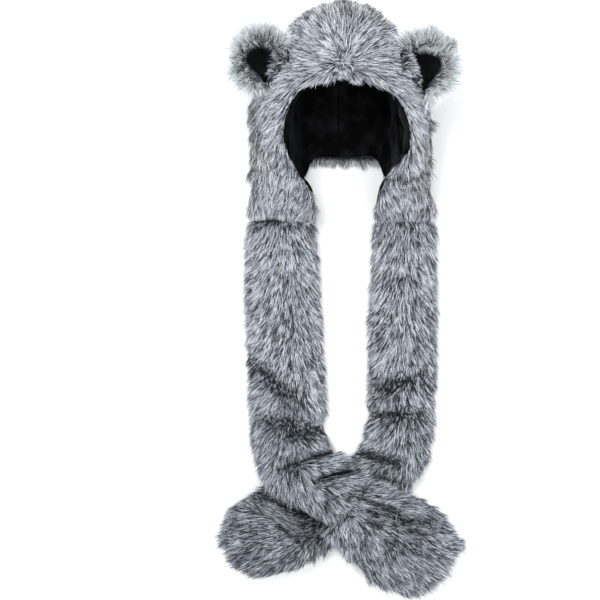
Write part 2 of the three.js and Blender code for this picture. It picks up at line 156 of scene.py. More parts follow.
def soft_lamp(name, place, target, size, power):
    data = bpy.data.lights.new(name, "AREA")
    lamp = new_object(name, configure(data, {"shape": "DISK", "size": size, "energy": power}))
    lamp.location = place
    lamp.rotation_euler = (Vector(target) - Vector(place)).to_track_quat("-Z", "Y").to_euler()


soft_lamp("key_lamp", (-1.1, 1.3, 2.6), (0, 0, 0), 1.2, 48)
soft_lamp("fill_lamp", (1.6, -0.8, 2.4), (0, 0, 0), 1.6, 20)

# %% [markdown]
# # The middle lines of the strips
# Each strip runs straight down from the cheek seam and then bends across, and its paw goes on in the same
# direction. Its middle line is worked out from a few lengths and angles. It tells later how far along the strip a
# point is, and how far to the side.

# %% Routes of the strips
routes = {
    "left": dict(side=-1, x=-0.095, tilt=2.5, length=0.498, straight=0.68, radius=0.110, turn=53),
    "right": dict(side=1, x=0.101, tilt=1, length=0.512, straight=0.61, radius=0.165, turn=71),
}
paw_length = 0.170


def route_points(side, x, tilt, length, straight, radius, turn, count=240):
    """Places, directions and distances along the middle line of a strip and its paw."""
    distance = np.linspace(0, length + paw_length, count)
    run = straight * length
    first, bend = math.radians(tilt), math.radians(turn)
    heading = first + np.clip((distance - run) / radius, 0, bend)
    before = np.minimum(distance, run)
    after = np.maximum(distance - run - bend * radius, 0)
    sideways = before * math.sin(first) + radius * (math.cos(first) - np.cos(heading)) + after * np.sin(heading)
    forwards = before * math.cos(first) + radius * (np.sin(heading) - math.sin(first)) + after * np.cos(heading)
    place = np.stack([drawing_x + x - side * sideways, seam_y - forwards], axis=1)
    along = np.stack([-side * np.sin(heading), -np.cos(heading)], axis=1)
    return place, along, distance


def on_route(name, points, batch=20000):
    """For each point the direction along the strip, the direction across it, and how far across and along."""
    place, along, distance = route_points(**routes[name])
    nearest = np.zeros(len(points), dtype=int)
    for start in range(0, len(points), batch):
        some = points[start : start + batch, :2]
        gaps = ((some[:, None, :] - place[None, :, :]) ** 2).sum(axis=2)
        nearest[start : start + batch] = gaps.argmin(axis=1)
    forward = along[nearest]
    across = np.stack([-forward[:, 1], forward[:, 0]], axis=1)
    off = ((points[:, :2] - place[nearest]) * across).sum(axis=1)
    return forward, across, off, distance[nearest]


def flat(vectors):
    """Directions on the floor as directions in space."""
    return np.concatenate([vectors, np.zeros((len(vectors), 1))], axis=1)


# %% [markdown]
# # The plush under the hairs
# Plush has short dense hair on a knitted backing, and the long hairs stand on it. The CAD nodes hold its true
# form. A merged copy of each is given an even skin with the Remesh modifier, and smoothed, because the tapered
# locks of the CAD node are drawn by real hairs here. Subdivision would have kept the locks' pointed tips. The ends
# that meet another piece are left as they are, so that the fur runs on over the joint.


# %% Copies of nodes
def copy_of(node, name):
    """A merged copy of a CAD node, as a piece of its own at the origin."""
    piece = new_object(name, frame["nodes"][node].data.copy())
    piece.data.name = name
    piece.data.materials.clear()
    bpy.ops.object.select_all(action="DESELECT")
    bpy.context.view_layer.objects.active = piece
    piece.select_set(True)
    bpy.ops.object.mode_set(mode="EDIT")
    bpy.ops.mesh.select_all(action="SELECT")
    bpy.ops.mesh.remove_doubles(threshold=1e-5)
    bpy.ops.object.mode_set(mode="OBJECT")
    return piece


def apply_modifier(piece, kind, **settings):
    modifier = configure(piece.modifiers.new("change", kind), settings)
    bpy.context.view_layer.objects.active = piece
    bpy.ops.object.modifier_apply(modifier=modifier.name)


def points_of(piece, what="co"):
    values = np.empty(len(piece.data.vertices) * 3)
    piece.data.vertices.foreach_get(what, values)
    return values.reshape(-1, 3)


def normals_of(piece):
    return points_of(piece, "normal")


def set_points(piece, points):
    piece.data.vertices.foreach_set("co", np.ascontiguousarray(points).ravel())
    piece.data.update()


def smooth_faces(piece):
    for polygon in piece.data.polygons:
        polygon.use_smooth = True


def side_of(part):
    return part.split("_")[0]


def smooth_step(low, high, value):
    """0 up to low and 1 from high on, or 1 and then 0 where high is the smaller."""
    t = np.clip((value - low) / (high - low), 0, 1)
    return t * t * (3 - 2 * t)


def free_of_ends(part, points):
    """0 at an end that meets another piece, and 1 further than 2 cm from it. An ear has no such end."""
    if part.endswith("ear"):
        return np.ones(len(points))
    free = smooth_step(0.002, 0.020, np.abs(points[:, 1] - seam_y))
    if part != "hood":
        to_wrist = on_route(side_of(part), points)[3] - routes[side_of(part)]["length"]
        free *= smooth_step(0.002, 0.020, np.abs(to_wrist))
    return free


def undercoat_of(part, voxel, rounds):
    """The fur node of a part with an even skin, smoothed in some rounds."""
    piece = copy_of(part + "_fur", part + "_undercoat")
    apply_modifier(piece, "REMESH", mode="VOXEL", voxel_size=voxel)
    soft = piece.vertex_groups.new(name="soft")
    for i, weight in enumerate(free_of_ends(part, points_of(piece))):
        soft.add([i], float(weight), "REPLACE")
    apply_modifier(piece, "SMOOTH", factor=0.5, iterations=rounds, vertex_group="soft")
    smooth_faces(piece)
    print(piece.name, len(piece.data.vertices), "points")
    return piece


coarse, fine = 0.0055, 0.004
skins = {"hood": (coarse, 16), "left_scarf": (coarse, 16), "right_scarf": (coarse, 16), "left_paw": (coarse, 20),
         "right_paw": (coarse, 20), "left_ear": (fine, 5), "right_ear": (fine, 5)}
undercoats = {part: undercoat_of(part, *skin) for part, skin in skins.items()}

# %% [markdown]
# # Folds in the strips and paws
# Where the strips bend and cross, the plush is pressed into folds that read as dark valleys. A fold is a line from
# one place of the photograph to another, with a width and a depth. The points of the undercoat near the line are
# moved down, and those beside it a little up, as on a pillow. The hairs there later get a painted shade, and those
# on the ridges beside it a little painted highlight. This was chosen over a cloth simulation, because each fold
# then lies where the real one does.

# %% Folds
folds = {
    "hood": [((392, 177), (419, 171), 0.004, 0.010)],
    "left_scarf": [
        ((252, 360), (299, 399), 0.011, 0.014),
        ((268, 419), (314, 424), 0.012, 0.015),
        ((285, 436), (338, 428), 0.007, 0.028),
        ((285, 467), (341, 450), 0.006, 0.030),
        ((316, 480), (357, 469), 0.007, 0.028),
        ((322, 500), (350, 488), 0.005, 0.010),
    ],
    "right_scarf": [
        ((388, 276), (413, 271), 0.004, 0.008),
        ((376, 390), (421, 373), 0.012, 0.015),
        ((366, 413), (418, 411), 0.009, 0.015),
        ((355, 452), (402, 463), 0.008, 0.030),
        ((376, 472), (402, 479), 0.006, 0.018),
    ],
    "left_paw": [
        ((356, 508), (426, 523), 0.006, 0.018),
        ((391, 520), (388, 556), 0.008, 0.009),
        ((404, 530), (416, 548), 0.009, 0.009),
    ],
    "right_paw": [
        ((262, 500), (300, 508), 0.009, 0.014),
        ((280, 494), (322, 524), 0.013, 0.024),
        ((296, 505), (318, 518), 0.008, 0.012),
    ],
}
fur_height = 0.035
floor_margin = 0.006
darkest_depth = 0.018


def near_line(points, start, end, width, beside=0.0):
    """1 on a line of the photograph, or beside it, falling smoothly to 0 away from it and past its ends."""
    a, b = from_photo(*start, fur_height), from_photo(*end, fur_height)
    along = b - a
    share = np.clip(((points[:, :2] - a) @ along) / (along @ along), 0, 1)
    gap = np.linalg.norm(points[:, :2] - a - share[:, None] * along, axis=1)
    fade = np.sin(np.pi * np.clip(share * 0.8 + 0.1, 0, 1)) ** 0.6
    return fade * np.exp(-(((gap - beside) / width) ** 2))


def fold_shade(part, roots):
    """How much painted shade the hairs get in a fold, and a painted highlight, a little below 0, on the ridges
    beside it.
    """
    dark = np.zeros(len(roots))
    for start, end, width, depth in folds[part]:
        strength = min(depth / darkest_depth, 1.3)
        # Painted shade in the fold.
        dark += near_line(roots, start, end, width * 1.25) * strength
        # Painted highlight on the ridges just beside it.
        dark -= 0.25 * near_line(roots, start, end, width, 2.6 * width) * strength
    return dark


for part, lines in folds.items():
    points = points_of(undercoats[part])
    for start, end, width, depth in lines:
        height = np.clip(points[:, 2] - floor_margin, 0, None)
        pressed = near_line(points, start, end, width) * depth
        ridge = near_line(points, start, end, width, 2.2 * width) * depth * 0.3
        ridge *= smooth_step(0.015, 0.03, points[:, 2])
        points[:, 2] += ridge - np.minimum(pressed, height * 0.8)
    set_points(undercoats[part], points)
    print(part, len(lines), "folds")

# %% [markdown]
# # A repeatable unevenness
# Fur is never even: it lies in patches that are a little lighter, longer or turned aside. The value below changes
# smoothly over a chosen distance. It is worked out from the place itself, so it is the same each time.


# %% Patches
def patches(points, size, seed):
    """Smooth random values from -1 to 1 that change over a distance of size."""
    place = points / size + seed * 17.3
    cell = np.floor(place).astype(np.int64)
    part = place - cell
    part = part * part * (3 - 2 * part)
    total = np.zeros(len(points))
    for corner in range(8):
        step = np.array([corner & 1, (corner >> 1) & 1, (corner >> 2) & 1])
        c = cell + step
        code = (c[:, 0] * 73856093) ^ (c[:, 1] * 19349663) ^ (c[:, 2] * 83492791) ^ (seed * 2654435761)
        value = ((code * 1103515245 + 12345) >> 8 & 0xFFFF) / 32767.5 - 1
        weight = np.prod(np.where(step == 1, part, 1 - part), axis=1)
        total += value * weight
    return total


def unit(vectors):
    return vectors / np.maximum(np.linalg.norm(vectors, axis=1, keepdims=True), 1e-9)


def tangent_of(direction, normals):
    """The part of a direction that lies in the surface."""
    return unit(direction - (direction * normals).sum(axis=1, keepdims=True) * normals)


# %% [markdown]
# # Fitting the undercoats to the photograph
# In the photograph the face opening is a little wider than in the CAD model, and the lower end of one strip and the
# tips of the paws lie a little to the side. Each pair in the lists below is a place and how far it has to go, in
# pixels, and the points near it go with it. Then each undercoat is drawn in, so that the hairs on it end where the
# CAD node does. The ends at the cheek seams are drawn back to the seam, and the upper paw starts inside its strip.

# %% Opening the face
rim_moves = [
    ((300, 97), (-4, -2)), ((292, 112), (-5, 0)), ((291, 128), (-6, 0)), ((294, 144), (-7, 0)),
    ((301, 158), (-10, 0)), ((308, 170), (-8, 1)), ((330, 83), (0, -3)), ((360, 84), (0, -3)),
    ((390, 96), (4, -2)), ((400, 112), (5, 0)), ((402, 128), (6, 0)), ((398, 144), (9, 0)),
    ((390, 157), (11, 0)), ((384, 168), (4, 1)),
]


def moved(points, moves, reach=13.0, above=(0.02, 0.05)):
    """The points, moved with the nearest places. Those that lie lower than a height stay."""
    seen = to_photo(points)
    step, total = np.zeros((len(points), 2)), np.zeros(len(points))
    for place, move in moves:
        share = np.exp(-((np.linalg.norm(seen - place, axis=1) / reach) ** 2))
        step += share[:, None] * np.array(move)
        total += share
    step = step / np.maximum(total, 1)[:, None] * np.array([[pixel, -pixel]])
    result = points.copy()
    result[:, :2] += step * smooth_step(*above, points[:, 2])[:, None]
    return result


set_points(undercoats["hood"], moved(points_of(undercoats["hood"]), rim_moves))

# %% Moving the ends of the strips
band_moves = {
    "left_scarf": [((276, 503), (3, -4)), ((290, 517), (5, -9)), ((304, 528), (6, -11)), ((320, 537), (7, -10))],
    "left_paw": [((452, 544), (9, 0)), ((344, 536), (-9, 1)), ((352, 552), (-5, 2))],
    "right_paw": [((224, 538), (-4, 0))],
}
for part, moves in band_moves.items():
    set_points(undercoats[part], moved(points_of(undercoats[part]), moves, 12, (-1, 0)))

# %% Room for the hairs
cad_lining = frame["nodes"]["hood_lining"]
lining_tree = BVHTree.FromPolygons(
    moved(points_of(cad_lining), rim_moves).tolist(),
    [tuple(polygon.vertices) for polygon in cad_lining.data.polygons],
)


def from_lining(points):
    return np.array([lining_tree.find_nearest(Vector(point))[3] for point in points])


def outer_side(points, normals):
    """0 on the hood's inner wall, whose faces look at the lining, and 1 on the rim and the outside."""
    nearest = np.array([tuple(lining_tree.find_nearest(Vector(point))[0]) for point in points])
    return smooth_step(0.55, 0.05, (unit(nearest - points) * normals).sum(axis=1))


strip_flattening = 0.86
left_strip_shift = 0.003


def make_room(part, depth):
    """Draws the undercoat in by a depth, or by a share of its half width where it is a strip."""
    points, normals = points_of(undercoats[part]), normals_of(undercoats[part])
    if part.endswith("scarf"):
        _, across, off, distance = on_route(side_of(part), points)
        points[:, :2] -= across * (off * depth * smooth_step(0.0, 0.045, distance))[:, None]
        points[:, 0] -= left_strip_shift if part == "left_scarf" else 0
        points[:, 2] *= strip_flattening
    elif part == "hood":
        outer = outer_side(points, normals) * smooth_step(0.003, 0.010, from_lining(points) - depth)
        left_cheek = smooth_step(-0.03, -0.09, points[:, 0] - drawing_x) * smooth_step(0.37, 0.32, points[:, 1])
        outer *= smooth_step(0.0, 0.02, points[:, 2]) * (1 - 0.6 * left_cheek)
        points -= normals * (depth * outer)[:, None]
    else:
        level = np.array([[1, 1, 0.3]])
        points -= normals * level * depth * smooth_step(0.0, 0.012, points[:, 2])[:, None]
    set_points(undercoats[part], points)


def reach_seam(part, way, reach=0.03, left_open=0.0003):
    """Draws the end of the undercoat back to the cheek seam, which the smoothing took it away from."""
    points = points_of(undercoats[part])
    gap = (points[:, 1] - seam_y) * way
    short = gap.min()
    points[:, 1] -= way * np.clip(1 - (gap - short) / reach, 0, 1) * (short - left_open)
    set_points(undercoats[part], points)
    print(part, "ends", round(short * 1000, 2), "mm from the seam")


def tuck_in(part, reach, rise):
    """Draws the start of a paw back into the end of its strip, so that their furs run into each other."""
    points = points_of(undercoats[part])
    forward, _, _, along = on_route(side_of(part), points)
    wrist = routes[side_of(part)]["length"]
    near = smooth_step(wrist + 0.035, wrist, along)
    points[:, :2] -= forward * (near * reach)[:, None]
    points[:, 2] += near * rise * smooth_step(0.01, 0.03, points[:, 2])
    set_points(undercoats[part], points)


depths = {"hood": 0.0085, "left_scarf": 0.14, "right_scarf": 0.18, "left_paw": 0.012, "right_paw": 0.012,
          "left_ear": 0.018, "right_ear": 0.018}
for part, depth in depths.items():
    make_room(part, depth)
reach_seam("hood", 1)
reach_seam("left_scarf", -1)
reach_seam("right_scarf", -1)
tuck_in("left_paw", 0.014, 0.004)

# %% [markdown]
# # The way the hair lies
# On the hood the hair runs away from a whorl on the brow, over the crown, the cheeks and the nape. On a strip it
# runs down from a parting along its middle, like a herringbone, and on a paw it turns out round the end. On an ear
# it stands out from the middle. Each function gives the direction at many roots at once.

# %% Directions
whorl = np.array([*from_photo(345, 55, 0.15), 0.155])
whorl_reach = 0.045
strip_half_width = 0.048
partings = {"left": 0.010, "right": 0.0}


def wander(roots, size, seed):
    """Directions on the floor that change smoothly over a distance of size."""
    return np.stack([patches(roots, size, seed), patches(roots, size, seed + 1)], axis=1)


def hood_flow(roots):
    away = roots - whorl
    near = 1 - smooth_step(0.0, whorl_reach, np.linalg.norm(away, axis=1))[:, None]
    below = smooth_step(0.02, 0.20, whorl[1] - roots[:, 1])[:, None]
    outward = np.sign(roots[:, 0] - drawing_x)[:, None] * np.array([[1.0, 0, 0]])
    outward = outward * smooth_step(0.0, 0.06, roots[:, 1] - seam_y)[:, None]
    down = np.array([[0, -1.0, 0]]) + 0.3 * outward
    tuft, wave = flat(wander(roots, 0.007, 31)), flat(wander(roots, 0.03, 3))
    spread = 0.2 * flat(wander(roots, 0.012, 33))
    radial = unit(away) * (1 - 0.6 * below) * (1 - 0.6 * near)
    return radial + down * 0.75 * below + 1.1 * near * tuft + 0.2 * wave + spread


def strip_flow(name):
    def flow(roots):
        forward, across, off, distance = on_route(name, roots)
        length = routes[name]["length"]
        parted = partings[name] * (1 - smooth_step(0.6 * length, 0.9 * length, distance))
        share = np.clip((off - parted) / strip_half_width, -1.15, 1.15)
        share = (share * (0.4 + 0.6 * smooth_step(0.0, 0.05, distance)))[:, None]
        apart = 0.85 * share + 0.08 * np.sign(share) * smooth_step(0, 0.25, np.abs(share))
        on_paw = smooth_step(length - 0.03, length + 0.5 * paw_length, distance)[:, None]
        middle = route_points(**routes[name])[0]
        wrist = middle[int(len(middle) * (length - 0.01) / (length + paw_length))]
        direction = unit(forward + across * apart) * (1 - on_paw) + unit(roots[:, :2] - wrist) * on_paw
        return flat(direction + (0.15 + 0.2 * on_paw) * wander(roots, 0.025, 5))

    return flow


def ear_flow(centre):
    def flow(roots):
        return unit(roots - centre) + np.array([[0, 0, 0.18]])

    return flow


# %% [markdown]
# # Long hairs
# A long hair is a blade with two sections: a narrow quad and a pointed tip. Fixed random numbers choose the roots
# over the undercoat, by area. Every third hair is a guide, or every fifth on the ears, and the others lean towards
# the nearest guide's tip, so that the fur falls into locks with dark gaps. The blades of one area are one joined
# mesh, because, unlike a particle system, it keeps their shape in the exported model. Each blade has its place in a
# small UV map: across is its tint, and up is the way from root to tip.


# %% Roots
def roots_on(piece, count, seed, keep):
    """Random roots on a piece, by area, where keep(points, normals) gives the share of hairs that stay."""
    random = np.random.default_rng(seed)
    mesh = piece.data
    mesh.calc_loop_triangles()
    corners = np.empty(len(mesh.loop_triangles) * 3, dtype=np.int64)
    mesh.loop_triangles.foreach_get("vertices", corners)
    corners = corners.reshape(-1, 3)
    points, normals = points_of(piece), normals_of(piece)
    a, b, c = (points[corners[:, i]] for i in range(3))
    area = np.linalg.norm(np.cross(b - a, c - a), axis=1)
    weight = area * (keep((a + b + c) / 3, unit(normals[corners].mean(axis=1))) + 1e-12)
    chosen = random.choice(len(corners), count, p=weight / weight.sum())
    u, v = np.sqrt(random.random(count)), random.random(count)
    shares = np.stack([1 - u, u * (1 - v), u * v], axis=1)[:, :, None]
    return (points[corners[chosen]] * shares).sum(axis=1), unit((normals[corners[chosen]] * shares).sum(axis=1))


def nearest_guides(roots, every):
    """For each root the number of the nearest guide, where one root in so many is a guide."""
    guides = np.arange(0, len(roots), every)
    tree = KDTree(len(guides))
    for i, guide in enumerate(guides):
        tree.insert(roots[guide], i)
    tree.balance()
    return guides[[tree.find(root)[1] for root in roots]]


# %% Blades
bend = 0.45
shortened = 0.15
blade_faces = np.array([[0, 1, 2, 3, 3, 2, 4]])
face_starts = np.array([[0, 4]])


def crosses(tree, start, end):
    way = Vector(end) - Vector(start)
    return tree.ray_cast(Vector(start), way.normalized(), way.length)[0] is not None


def blades(name, roots, normals, flow, length, tint, seed, width=0.0008, lift=(32, 7), pull=0.5, every=3,
           spread=12, barrier=None):
    """One joined mesh of blades. length and tint are given for each root, and no blade grows through a barrier.

    lift is how many degrees the two sections rise, pull how far a blade leans towards its guide, and spread how
    many degrees the blades turn aside.
    """
    random = np.random.default_rng(seed)
    count = len(roots)
    tangent = tangent_of(flow(roots), normals)
    side = np.cross(normals, tangent)
    turn = np.radians(random.normal(0, spread, count))[:, None]
    tangent, side = tangent * np.cos(turn) + side * np.sin(turn), side * np.cos(turn) - tangent * np.sin(turn)
    raised = np.radians(lift[0] * random.uniform(0.6, 1.35, count))[:, None]
    low = np.radians(lift[1] * random.uniform(0.0, 2.0, count))[:, None]
    long = (length * random.uniform(0.72, 1.18, count))[:, None]
    middle = roots + long * bend * (tangent * np.cos(raised) + normals * np.sin(raised))
    tip = middle + long * (1 - bend) * (tangent * np.cos(low) + normals * np.sin(low))
    guide = nearest_guides(roots, every)
    drawn = (pull * random.uniform(0.6, 1.15, count))[:, None]
    tip = tip + (tip[guide] - tip) * drawn
    middle = middle + (middle[guide] - middle) * drawn * 0.35
    if barrier:
        ways = zip(roots, middle, tip)
        through = np.array([crosses(barrier, a, b) or crosses(barrier, b, c) for a, b, c in ways])
        middle[through] = (roots + (middle - roots) * shortened)[through]
        tip[through] = (roots + (tip - roots) * shortened)[through]
        print(name, int(through.sum()), "hairs kept short of the lining")
    middle[:, 2] = np.maximum(middle[:, 2], 0.0006)
    tip[:, 2] = np.maximum(tip[:, 2], 0.0004)
    twist = np.radians(random.uniform(-50, 50, count))[:, None]
    flat_side = side * np.cos(twist) + normals * np.sin(twist)
    half = (width * random.uniform(0.7, 1.3, count) / 2)[:, None] * flat_side
    base = roots - normals * 0.001
    corners = np.stack([base - half * 0.8, base + half * 0.8, middle + half, middle - half, tip], axis=1)
    numbers = np.arange(count)[:, None]
    loops = (numbers * corners.shape[1] + blade_faces).ravel()
    starts = (numbers * blade_faces.size + face_starts).ravel()
    mesh = bpy.data.meshes.new(name)
    mesh.vertices.add(corners.size // 3)
    mesh.vertices.foreach_set("co", corners.astype(np.float32).ravel())
    mesh.loops.add(len(loops))
    mesh.loops.foreach_set("vertex_index", loops.astype(np.int32))
    mesh.polygons.add(len(starts))
    mesh.polygons.foreach_set("loop_start", starts.astype(np.int32))
    mesh.update(calc_edges=True)
    own = random.random(count)
    shared = random.random(count)[guide]
    shade = np.clip(own + (shared - 0.5) * 0.9 + tint, 0.03, 0.97)
    uv = np.empty((count, blade_faces.size, 2))
    uv[:, :, 0] = shade[:, None] + np.array([[-1, 1, 1, -1, -1, 1, 0]]) * 0.012
    uv[:, :, 1] = np.array([[0.01, 0.01, bend, bend, bend, bend, 0.99]])
    layer = mesh.uv_layers.new(name="OFBake")
    layer.data.foreach_set("uv", uv.astype(np.float32).ravel())
    print(name, count, "hairs", count * 3, "triangles")
    return new_object(name, mesh)


# %% [markdown]
# # Colour of the fur
# A guard hair is dark at its root and silver towards its tip, and a third of the hairs are dark all the way. The
# node group below reads a blade's UV place and gives its tint, and its brightness there. All four fur materials use
# it, each with its own ramp from dark to light hairs.


# %% Adding shader nodes
def feed(tree, node, inputs):
    """Gives each input a value, or a link where it is given an output of another node."""
    for socket, value in inputs.items():
        if isinstance(value, bpy.types.NodeSocket):
            tree.links.new(value, node.inputs[socket])
        else:
            node.inputs[socket].default_value = value


def add_node(tree, kind, inputs, **settings):
    node = configure(tree.nodes.new("ShaderNode" + kind), settings)
    feed(tree, node, inputs)
    return node


def add_ramp(tree, factor, stops):
    """The colour output of a ramp through stops of a position and a colour."""
    ramp = add_node(tree, "ValToRGB", {"Fac": factor})
    elements = ramp.color_ramp.elements
    for element, (position, colour) in [(elements[0], stops[0]), (elements[1], stops[-1])]:
        element.position = position
        element.color = (*colour, 1)
    for position, colour in stops[1:-1]:
        elements.new(position).color = (*colour, 1)
    return ramp.outputs["Color"]


def add_mix(tree, factor, first, second):
    """The colour between two. Inputs 6 and 7 of a Mix node are its colours."""
    return add_node(tree, "Mix", {0: factor, 6: first, 7: second}, data_type="RGBA").outputs[2]


def add_math(tree, operation, *values):
    return add_node(tree, "Math", dict(enumerate(values)), operation=operation).outputs[0]


def add_range(tree, value, low, high, interpolation="LINEAR"):
    """0 where the value is low and 1 where it is high."""
    inputs = {"Value": value, "From Min": low, "From Max": high}
    return add_node(tree, "MapRange", inputs, interpolation_type=interpolation).outputs[0]


def add_noise(tree, place, scale, detail=2):
    return add_node(tree, "TexNoise", {"Vector": place, "Scale": scale, "Detail": detail}).outputs["Fac"]


def add_bump(tree, height, strength, distance):
    inputs = {"Height": height, "Strength": strength, "Distance": distance}
    return add_node(tree, "Bump", inputs).outputs["Normal"]


# %% Group for one hair
def hair_group():
    group = bpy.data.node_groups.new("hair_shade", "ShaderNodeTree")
    for name, value in [("Root", 0.06), ("Middle", 0.6), ("Tip", 1.05)]:
        socket = group.interface.new_socket(name, in_out="INPUT", socket_type="NodeSocketFloat")
        socket.default_value = value
    for name in ["Tint", "Shade"]:
        group.interface.new_socket(name, in_out="OUTPUT", socket_type="NodeSocketFloat")
    given = group.nodes.new("NodeGroupInput").outputs
    uv = add_node(group, "UVMap", {}, uv_map="OFBake")
    place = add_node(group, "SeparateXYZ", {0: uv.outputs["UV"]}).outputs
    lower = add_node(group, "MapRange", {
        "Value": place["Y"], "From Max": 0.4, "To Min": given["Root"], "To Max": given["Middle"],
    })
    rise = add_math(group, "SUBTRACT", given["Tip"], given["Middle"])
    upper = add_node(group, "MapRange", {
        "Value": place["Y"], "From Min": 0.4, "From Max": 0.85, "To Min": 0, "To Max": rise,
    })
    shade = add_math(group, "ADD", lower.outputs[0], upper.outputs[0])
    feed(group, group.nodes.new("NodeGroupOutput"), {"Tint": place["X"], "Shade": shade})
    return group


hair_shade = hair_group()


# %% Hair materials
def hair_material(name, stops):
    """Fur whose hairs go through the colour stops from the darkest hair to the lightest."""
    material = new_material(name, {"Roughness": 0.5, "Specular IOR Level": 0.35})
    tree = material.node_tree
    hair = add_node(tree, "Group", {}, node_tree=hair_shade)
    colour = add_ramp(tree, hair.outputs["Tint"], stops)
    scale = add_node(tree, "VectorMath", {0: colour, "Scale": hair.outputs["Shade"]}, operation="SCALE")
    feed(tree, tree.nodes["Principled BSDF"], {"Base Color": scale.outputs["Vector"]})
    return material


silver = hair_material(
    "silver_fur",
    [(0.0, (0.011, 0.013, 0.017)), (0.28, (0.033, 0.038, 0.05)), (0.46, (0.36, 0.395, 0.475)),
     (0.64, (0.76, 0.80, 0.885)), (1.0, (0.94, 0.965, 1.0))],
)
smoky = hair_material(
    "smoky_fur",
    [(0.0, (0.016, 0.016, 0.018)), (0.32, (0.05, 0.05, 0.052)), (0.6, (0.33, 0.335, 0.345)),
     (1.0, (0.82, 0.83, 0.86))],
)
slate = hair_material(
    "slate_fur",
    [(0.0, (0.011, 0.013, 0.017)), (0.3, (0.034, 0.04, 0.05)), (0.54, (0.26, 0.29, 0.335)),
     (0.75, (0.54, 0.585, 0.655)), (1.0, (0.80, 0.845, 0.90))],
)
frost = hair_material(
    "frosted_fur",
    [(0.0, (0.03, 0.036, 0.042)), (0.2, (0.12, 0.145, 0.165)), (0.4, (0.62, 0.69, 0.73)),
     (0.7, (0.85, 0.89, 0.91)), (1.0, (0.95, 0.97, 0.98))],
)

# %% [markdown]
# # Undercoat and lining cloth
# The undercoat shows only as the depth between the hairs: a dark, uneven, fully dull plush. The lining is a smooth
# black cloth with a faint sheen and a fine weave, and a seam runs down the middle of its back. The seam is drawn by
# the material, as a narrow dark groove, because its stitches are finer than the mesh. At both sides of the opening
# the cloth gets a painted sheen: a greyer colour in long streaks, which stands in for the light that the satin
# walls catch there. The ears' cloth gets almost none of it, so it is a second material with another value.


# %% Plain materials
def undercoat_material(name, dark, light):
    material = new_material(name, {"Roughness": 1.0, "Specular IOR Level": 0.1})
    tree = material.node_tree
    place = add_node(tree, "TexCoord", {}).outputs["Object"]
    noise = add_noise(tree, place, 260, 3)
    feed(tree, tree.nodes["Principled BSDF"], {
        "Base Color": add_ramp(tree, noise, [(0.35, dark), (0.7, light)]),
        "Normal": add_bump(tree, noise, 0.6, 0.002),
    })
    return material


seam_x = drawing_x - 0.0045
seam_half_width = 0.0018
# Distances from the seam where the painted sheen begins and where it is full.
sheen_from, sheen_to = 0.050, 0.085
black_stops = [(0.45, (0.0002, 0.0002, 0.0003)), (0.72, (0.008, 0.008, 0.0095))]


def lining_material(name, sheen_colour):
    """Black cloth with a seam down its middle, and a painted sheen at both sides: streaks of the sheen colour."""
    material = new_material(name, {
        "Roughness": 0.48, "Specular IOR Level": 0.03, "Sheen Weight": 0.05, "Sheen Roughness": 0.35,
    })
    tree = material.node_tree
    place = add_node(tree, "TexCoord", {}).outputs["Object"]
    across = add_node(tree, "SeparateXYZ", {0: place}).outputs["X"]
    gap = add_math(tree, "ABSOLUTE", add_math(tree, "SUBTRACT", across, seam_x))
    seam = add_range(tree, gap, 0.0, seam_half_width, "SMOOTHSTEP")
    black = add_ramp(tree, add_noise(tree, place, 35), black_stops)
    stretched = add_node(tree, "Mapping", {"Vector": place, "Scale": (70, 14, 30)}).outputs["Vector"]
    # Painted sheen: long streaks of a greyer colour at both sides, standing in for the light on the satin walls.
    sheen_streaks = add_range(tree, add_noise(tree, stretched, 1.0), 0.42, 0.68)
    sides = add_range(tree, gap, sheen_from, sheen_to, "SMOOTHSTEP")
    weave = add_node(tree, "TexWave", {"Vector": place, "Scale": 700, "Distortion": 1.5}).outputs["Fac"]
    cloth = add_mix(tree, seam, (0.001, 0.001, 0.001, 1), black)
    feed(tree, tree.nodes["Principled BSDF"], {
        "Base Color": add_mix(tree, add_math(tree, "MULTIPLY", sides, sheen_streaks), cloth, (*sheen_colour, 1)),
        "Normal": add_bump(tree, add_math(tree, "MULTIPLY_ADD", weave, 0.08, seam), 0.8, 0.0012),
    })
    return material


undercoat = undercoat_material("fur_undercoat", (0.014, 0.015, 0.018), (0.06, 0.064, 0.075))
# The last colour of each lining is the colour of its painted sheen.
lining = lining_material("black_lining", (0.022, 0.023, 0.026))
ear_lining = lining_material("black_ear_lining", (0.0014, 0.0014, 0.0018))

# %% [markdown]
# # The lining
# The black lining hangs loosely in the hood, with soft folds at the right-hand side and one at the left cheek. A
# merged copy of the lining node is subdivided, and its points are moved inwards where a fold stands up. The ear
# linings are small dishes, subdivided in the same way. Each is drawn out to the outline that the black of the ear
# has in the photograph, and laid on the ear's plush.


# %% Cloth copies
def cloth_of(node, name, levels):
    piece = copy_of(node, name)
    bpy.ops.object.mode_set(mode="EDIT")
    bpy.ops.mesh.select_all(action="SELECT")
    bpy.ops.mesh.tris_convert_to_quads(face_threshold=0.9, shape_threshold=0.9)
    bpy.ops.object.mode_set(mode="OBJECT")
    apply_modifier(piece, "SUBSURF", levels=levels)
    smooth_faces(piece)
    print(name, len(piece.data.polygons), "faces")
    return piece


hood_cloth = cloth_of("hood_lining", "hood_lining_cloth", 2)
cloth_folds = [
    ((362, 118), (371, 152), 0.010, 0.005),
    ((379, 124), (365, 152), 0.009, 0.006),
    ((386, 112), (392, 150), 0.007, 0.008),
    ((398, 108), (402, 150), 0.006, 0.008),
    ((292, 124), (305, 156), 0.006, 0.008),
]
hollow_middle = np.array([drawing_x, seam_y + 0.16, 0.075])
points = moved(points_of(hood_cloth), rim_moves)
inward = unit(hollow_middle - points)
for start, end, width, depth in cloth_folds:
    points += inward * (near_line(points, start, end, width) * depth)[:, None]
set_points(hood_cloth, points)
ears = ["left_ear", "right_ear"]
ear_cloths = {ear: cloth_of(ear + "_lining", ear + "_lining_cloth", 2) for ear in ears}

